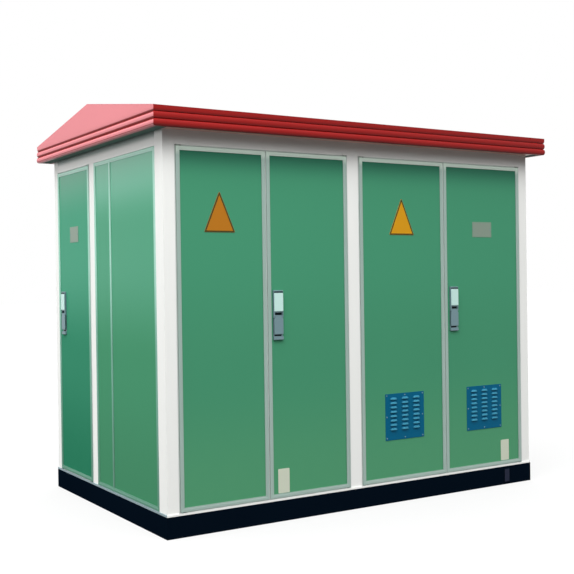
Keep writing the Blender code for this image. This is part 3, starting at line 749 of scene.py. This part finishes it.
def plate(name, outline, thickness, material, hole=None):
    """A flat plate in X and Z that stands out of the wall.

    With a hole, an outline of as many points, it is a border round that hole.
    """
    bm = bmesh.new()
    rim = [bm.verts.new((x, 0, z)) for x, z in outline]
    if hole:
        inner = [bm.verts.new((x, 0, z)) for x, z in hole]
        for index in range(len(rim)):
            after = (index + 1) % len(rim)
            bm.faces.new((rim[index], rim[after], inner[after], inner[index]))
    else:
        bm.faces.new(rim)
    top = bmesh.ops.extrude_face_region(bm, geom=list(bm.faces))["geom"]
    moved = [item for item in top if isinstance(item, bmesh.types.BMVert)]
    bmesh.ops.translate(bm, vec=(0, -thickness, 0), verts=moved)
    bmesh.ops.recalc_face_normals(bm, faces=bm.faces)
    mesh = bpy.data.meshes.new(name)
    bm.to_mesh(mesh)
    bm.free()
    mesh.materials.append(material)
    return added(name, mesh)


AMBER = sprayed("amber plate", srgb(175, 111, 28), 0.45, cloud=0.06)
YELLOW = sprayed("yellow plate", srgb(205, 146, 24), 0.45, cloud=0.06)
UMBER = sprayed("dark border print", srgb(62, 56, 18), 0.5, 0.2, cloud=0.1)
SIGN_WIDTH = 0.2075
SIGN_LOW = 1.764
SIGN_HIGH = 2.008
SIGN_THICKNESS = 0.0015
SIGN_CORNER = 0.005
BORDER_FROM_EDGE = 0.0012
BORDER_CORNER = 0.004
FACE_FROM_EDGE = 0.0095
FACE_CORNER = 0.002
PRINT = 0.0003
SIGNS = {"door_1": (0.370, AMBER), "door_3": (1.7365, YELLOW)}


def triangle(inset):
    """The corners of the sign, moved inwards by a distance."""
    half, rise = SIGN_WIDTH / 2, SIGN_HIGH - SIGN_LOW
    slant = (half * half + rise * rise) ** 0.5
    side = inset * (slant + half) / rise
    top = inset * slant / half
    return [(-half + side, inset), (half - side, inset), (0, rise - top)]


for body, (along, colour) in SIGNS.items():
    place = on_wall("front", along, PANEL_FACE, SIGN_LOW)
    sheet = plate(body + "_sign_plate", rounded(triangle(0), SIGN_CORNER), SIGN_THICKNESS, colour)
    put(sheet, place, body)
    border = plate(
        body + "_sign_border",
        rounded(triangle(BORDER_FROM_EDGE), BORDER_CORNER),
        PRINT,
        UMBER,
        rounded(triangle(FACE_FROM_EDGE), FACE_CORNER),
    )
    put(border, on_wall("front", along, PANEL_FACE - SIGN_THICKNESS, SIGN_LOW), body)
    print(sheet.name, len(sheet.data.polygons), "faces")

# %% Name plates and labels
PEWTER = drawn("pewter name plate", srgb(124, 140, 126), 0.35, 0.3)
PEWTER_EDGE = drawn("name plate rim", srgb(112, 144, 124), 0.35, 0.3)
IVORY = sprayed("ivory label", srgb(196, 202, 184), 0.5, 0.2, cloud=0.05)
PLATE_THICKNESS = 0.0012
PLATE_CORNER = 0.005
RIM_FROM_EDGE = 0.003
RIM_CORNER = 0.004
FIELD_FROM_EDGE = 0.007
FIELD_CORNER = 0.002
SCREW_FROM_EDGE = 0.013
PLATE_SCREW_HEAD = 0.004
PLATES = [
    ("name_plate", "front", "door_4", 2.453, 1.8095, 0.178, 0.106, PEWTER),
    ("name_plate", "left", "end_door", 0.393, 1.8115, 0.160, 0.108, PEWTER),
    ("label", "front", "door_2", 0.7915, 0.2465, 0.081, 0.149, IVORY),
    ("label", "front", "door_4", 2.6485, 0.2455, 0.077, 0.145, IVORY),
]
for kind, wall, body, along, height, wide, tall, material in PLATES:
    name = body + "_" + kind
    face = plate(name, rounded(rectangle(wide, tall), PLATE_CORNER), PLATE_THICKNESS, material)
    put(face, on_wall(wall, along, PANEL_FACE, height), body)
    if kind == "name_plate":
        rim = plate(
            name + "_rim",
            rounded(rectangle(wide - 2 * RIM_FROM_EDGE, tall - 2 * RIM_FROM_EDGE), RIM_CORNER),
            PRINT,
            PEWTER_EDGE,
            rounded(
                rectangle(wide - 2 * FIELD_FROM_EDGE, tall - 2 * FIELD_FROM_EDGE), FIELD_CORNER
            ),
        )
        put(rim, on_wall(wall, along, PANEL_FACE - PLATE_THICKNESS, height), body)
        pins = grown(
            SCREWS,
            name + "_screws",
            Width=wide - 2 * SCREW_FROM_EDGE,
            Height=0.0,
            Columns=2,
            Rows=1,
            Skip=-1,
            Head=PLATE_SCREW_HEAD,
        )
        put(pins, on_wall(wall, along, PANEL_FACE - PLATE_THICKNESS, height), body)
    print(name, round(wide, 3), "by", round(tall, 3), "m")

# %% [markdown]
# ## Lock covers
#
# The upper part of each lock is a pale sliding cover over the key barrel. Above it, in the
# joint, a dark strip is painted shade, and over and under the lever, on the floor of its recess,
# dark sheets are painted shade as well. The cover is a rounded plate that stands a few
# millimetres out of the case: an outline with round corners, made thick, with its front edges
# bevelled so that they catch the light.

# %% Covers, with painted shade in joints and recesses
COVER = sprayed("pale lock cover", srgb(190, 222, 216), 0.35, 0.2)
PAINTED_SHADE = sprayed("painted shade in lock recesses", srgb(20, 34, 38), 0.5, cloud=0.1)
LOCKS = {"door_2": "front", "door_4": "front", "end_door": "left"}
LEVER_CLEARANCE = 0.0055
COVER_FOOT = 0.1745
COVER_HEIGHT = 0.111
COVER_WIDTH = 0.063
COVER_THICKNESS = 0.004
COVER_CORNER = 0.004
COVER_BEVEL = 0.0012
JOINT_HEIGHT = 0.009
JOINT_GAP = 0.002
SHADE_WIDTH = 0.050
SHADE_CORNER = 0.003
UPPER_SHADE = {"tall": 0.0150, "over_lever": 0.009}
LOWER_SHADE = {"tall": 0.0095, "under_lever": 0.006}


def bevelled(thing, width, segments=2):
    """Rounds a piece's sharp edges and makes the result its mesh."""
    modifier = thing.modifiers.new("edges", "BEVEL")
    modifier.width = width
    modifier.segments = segments
    modifier.limit_method = "ANGLE"
    modifier.angle_limit = radians(50)
    graph = bpy.context.evaluated_depsgraph_get()
    mesh = bpy.data.meshes.new_from_object(thing.evaluated_get(graph))
    thing.modifiers.clear()
    thing.data = mesh
    return thing


for body, wall in LOCKS.items():
    low, high = box_on(wall, body + "_lock_case")
    lever_low, lever_high = box_on(wall, body + "_lever")
    middle = (low + high) / 2
    outline = rounded(rectangle(COVER_WIDTH, COVER_HEIGHT), COVER_CORNER)
    cover = bevelled(plate(body + "_lock_cover", outline, COVER_THICKNESS, COVER), COVER_BEVEL)
    centre = low.z + COVER_FOOT + COVER_HEIGHT / 2
    put(cover, on_wall(wall, middle.x, low.y, centre), body)
    # A dark strip in the joint over the cover: painted shade.
    joint = plate(body + "_lock_joint", rectangle(COVER_WIDTH, JOINT_HEIGHT), PRINT, PAINTED_SHADE)
    above = centre + COVER_HEIGHT / 2 + JOINT_HEIGHT / 2 + JOINT_GAP
    put(joint, on_wall(wall, middle.x, low.y, above), body)
    recess = lever_high.y + LEVER_CLEARANCE
    lever_shades = {
        "upper": (UPPER_SHADE["tall"], lever_high.z + UPPER_SHADE["over_lever"]),
        "lower": (LOWER_SHADE["tall"], lever_low.z - LOWER_SHADE["under_lever"]),
    }
    for side, (tall, height) in lever_shades.items():
        # Dark sheets on the recess floor over and under the lever: painted shade.
        outline = rounded(rectangle(SHADE_WIDTH, tall), SHADE_CORNER)
        slot = plate(f"{body}_{side}_slot", outline, PRINT, PAINTED_SHADE)
        put(slot, on_wall(wall, middle.x, recess, height), body)
    print(cover.name, round(centre, 3))

# %% [markdown]
# ## Seals
#
# A bead of black rubber runs round each doorway, where a closed leaf presses. It follows a
# rectangle, so it is a second node tree: a rectangle as a curve, a small circle swept along it,
# and the same ending as before. The gaps round the leaves are filled from the outside with pale
# strips, as the photograph shows no dark slits. At the hinges a strip sits on the post and has
# a step: near the face it leaves the few millimetres that the turning edge of the leaf needs.
# Between two leaves it rides on the left one. Level strips close the gaps over and under them,
# from one hinge pin's bearing to the next.

# %% Doorway beads
RUBBER = sprayed("black rubber", srgb(34, 36, 36), 0.7, 0.3, cloud=0.1)
PALE = sprayed("pale seal", srgb(188, 196, 192), 0.6, 0.2)


def bead_tree():
    """A round bead that follows a rectangle in X and Z."""
    tree = Tree("bead", {"Width": FLOAT, "Height": FLOAT, "Radius": FLOAT})
    path = tree.node(
        "GeometryNodeCurvePrimitiveQuadrilateral",
        None,
        {"Width": tree.size("Width"), "Height": tree.size("Height")},
    )
    profile = tree.node(
        "GeometryNodeCurvePrimitiveCircle", None, {"Resolution": 8, "Radius": tree.size("Radius")}
    )
    swept = tree.node(
        "GeometryNodeCurveToMesh", None, {"Curve": path[0], "Profile Curve": profile[0]}
    )
    upright = tree.node(
        "GeometryNodeTransform", None, {"Geometry": swept[0], "Rotation": (pi / 2, 0, 0)}
    )
    return tree.end(upright[0], RUBBER)


BEADS = bead_tree()
BEAD_RADIUS = 0.0028
BEAD_INSET = 0.018
STOP_GAP = 0.008
DOORWAYS = [
    ("narrow_doorway", "front", "door_1", "door_2"),
    ("wide_doorway", "front", "door_3", "door_4"),
    ("end_doorway", "left", "end_door", "end_door"),
]
for name, wall, first, last in DOORWAYS:
    low = box_on(wall, first + "_panel")[0]
    high = box_on(wall, last + "_panel")[1]
    back = box_on(wall, first + "_frame")[1].y + STOP_GAP - BEAD_RADIUS
    bead = grown(
        BEADS,
        name + "_seal",
        Width=high.x - low.x + 2 * BEAD_INSET,
        Height=high.z - low.z + 2 * BEAD_INSET,
        Radius=BEAD_RADIUS,
    )
    put(bead, on_wall(wall, (low.x + high.x) / 2, back, (low.z + high.z) / 2), "housing")
    print(bead.name, len(bead.data.polygons), "faces")

# %% Pale strips
SILL_TOP = box_on("front", "front_mid_post")[0].z
BEAM_BOTTOM = box_on("front", "front_mid_post")[1].z
SILL_GAP = 0.005
HEAD_GAP = 0.0065
LEAF_FOOT = SILL_TOP + SILL_GAP
LEAF_TOP = BEAM_BOTTOM - HEAD_GAP
DOOR_GAP = 0.0072
MEETING_GAP = 0.007
MEETING_CLEARANCE = 0.002
MEETING_BACK = 0.018
BEARING = 0.036
RUNNING_GAP = 0.0013
EDGE = 0.0005
OUTER = {"front": 0.0035, "back": 0.020, "clearance": 0.0024}
INNER = {"front": 0.020, "back": 0.030, "clearance": 0.0016}


def strip(name, wall, low, high, body):
    """A straight strip between two corners, each metres along the wall, into it and up."""
    wide, deep, tall = (b - a for a, b in zip(low, high))
    made = plate(name, rectangle(wide, tall), deep, PALE)
    place = on_wall(wall, low[0] + wide / 2, high[1], low[2] + tall / 2)
    return put(made, place, body)


for name, wall, first, last in DOORWAYS:
    low = box_on(wall, first + "_frame")[0]
    high = box_on(wall, last + "_frame")[1]
    foot, top = SILL_TOP + EDGE, BEAM_BOTTOM - EDGE
    sides = {
        "left": lambda layer: (low.x - DOOR_GAP + EDGE, low.x - layer["clearance"]),
        "right": lambda layer: (high.x + layer["clearance"], high.x + DOOR_GAP - EDGE),
    }
    for side, span in sides.items():
        for kind, layer in (("outer", OUTER), ("inner", INNER)):
            near, far = span(layer)
            corner = (near, layer["front"], foot), (far, layer["back"], top)
            strip(f"{name}_{side}_{kind}_strip", wall, *corner, "housing")
    near, far = low.x + BEARING, high.x - BEARING
    levels = {
        "sill": (OUTER["front"], foot, LEAF_FOOT - RUNNING_GAP),
        "head": (EDGE, LEAF_TOP + RUNNING_GAP, top),
    }
    for level, (face, under, over) in levels.items():
        corner = (near, face, under), (far, OUTER["back"], over)
        strip(f"{name}_{level}_strip", wall, *corner, "housing")
    print(name, "has strips from", round(foot, 3), "to", round(top, 3), "m")

for body in ("door_1", "door_3"):
    low, high = box_on("front", body + "_frame")
    near, far = high.x, high.x + MEETING_GAP - MEETING_CLEARANCE
    corner = (near, OUTER["front"], LEAF_FOOT), (far, MEETING_BACK, LEAF_TOP)
    strip(body + "_meeting_strip", "front", *corner, body)

# %% [markdown]
# ## Light, floor and background
#
# The object stands under an overcast sky. Such a sky is dark at the horizon and bright high up,
# which is why the walls are darker right under the eaves. So the light that the world gives
# grows with the square of the sine of the height above the horizon. Straight overhead it is
# held back, or the roof would come out much paler than its paint, and it is a little stronger
# in front of the object. The background is white because the world and the floor show white to
# the camera and in reflections, not because more light falls on the object. For the light that
# bounces off it the floor is dark, as the ground outdoors would be. Two large lamps add what a
# clear patch in the clouds does: one is high up at the front left, and one is lower on the left,
# not far above the roof, and lights the end wall up to the eaves.

# %% Sky
SKY_STRENGTH = 6.5
OVERHEAD_LOSS = 0.7
FRONT_BIAS = 0.15


def shows_background(graph):
    """1 for a ray that sees the background as it looks: from the camera, a mirror or glass."""
    rays = graph.tree.nodes.new("ShaderNodeLightPath")
    camera, glossy, glass = (
        Value(graph, rays.outputs[name])
        for name in ("Is Camera Ray", "Is Glossy Ray", "Is Transmission Ray")
    )
    return camera.math("MAXIMUM", glossy).math("MAXIMUM", glass)


world = bpy.data.worlds.new("sky")
bpy.context.scene.world = world
sky = Graph(world, "Background")
toward = sky.tree.nodes.new("ShaderNodeSeparateXYZ")
sky.feed(toward.inputs[0], sky.node("ShaderNodeTexCoord", output="Generated"))
north, height = (Value(sky, toward.outputs[name]) for name in ("Y", "Z"))
up = height.clamped()
light = up * up * SKY_STRENGTH * (1 - up.step(0.7, 1.0) * OVERHEAD_LOSS) * (1 - north * FRONT_BIAS)
shown = shows_background(sky)
sky.finish(color=(1, 1, 1, 1), strength=light * (1 - shown) + shown)
print("sky nodes:", len(sky.tree.nodes))

# %% Floor
floor_mesh = bpy.data.meshes.new("floor")
shape = bmesh.new()
bmesh.ops.create_grid(shape, x_segments=1, y_segments=1, size=60)
shape.to_mesh(floor_mesh)
shape.free()
floor = added("floor", floor_mesh)
floor.location.z = -0.001
pale = material_graph("pale floor")
seen = shows_background(pale)
tone = pale.mix(seen, (0.05, 0.05, 0.05, 1.0), (0.13, 0.13, 0.13, 1.0))
pale.finish(base_color=tone, roughness=0.9, specular_ior_level=0.0)
glow = pale.mix(seen, (0.0, 0.0, 0.0, 1.0), (0.75, 0.75, 0.75, 1.0))
pale.finish(emission_color=glow, emission_strength=1.0)
floor_mesh.materials.append(pale.owner)


# %% Lamps
def softbox(name, place, aim, size, power):
    """A large area lamp that looks at a point."""
    lamp = bpy.data.lights.new(name, "AREA")
    lamp.shape = "RECTANGLE"
    lamp.size, lamp.size_y = size
    lamp.energy = power
    made = added(name, lamp)
    made.location = place
    made.rotation_euler = (Vector(aim) - Vector(place)).to_track_quat("-Z", "Y").to_euler()
    print(name, "at", place, power, "W")


softbox("front light", (-2.6, -2.7, 6.0), (-0.8, -0.9, 1.2), (2.5, 2.5), 190)
softbox("end light", (-5.6, 1.6, 2.9), (-1.4, 0.0, 1.6), (3.0, 1.0), 66)
bpy.context.scene.view_settings.view_transform = "Standard"
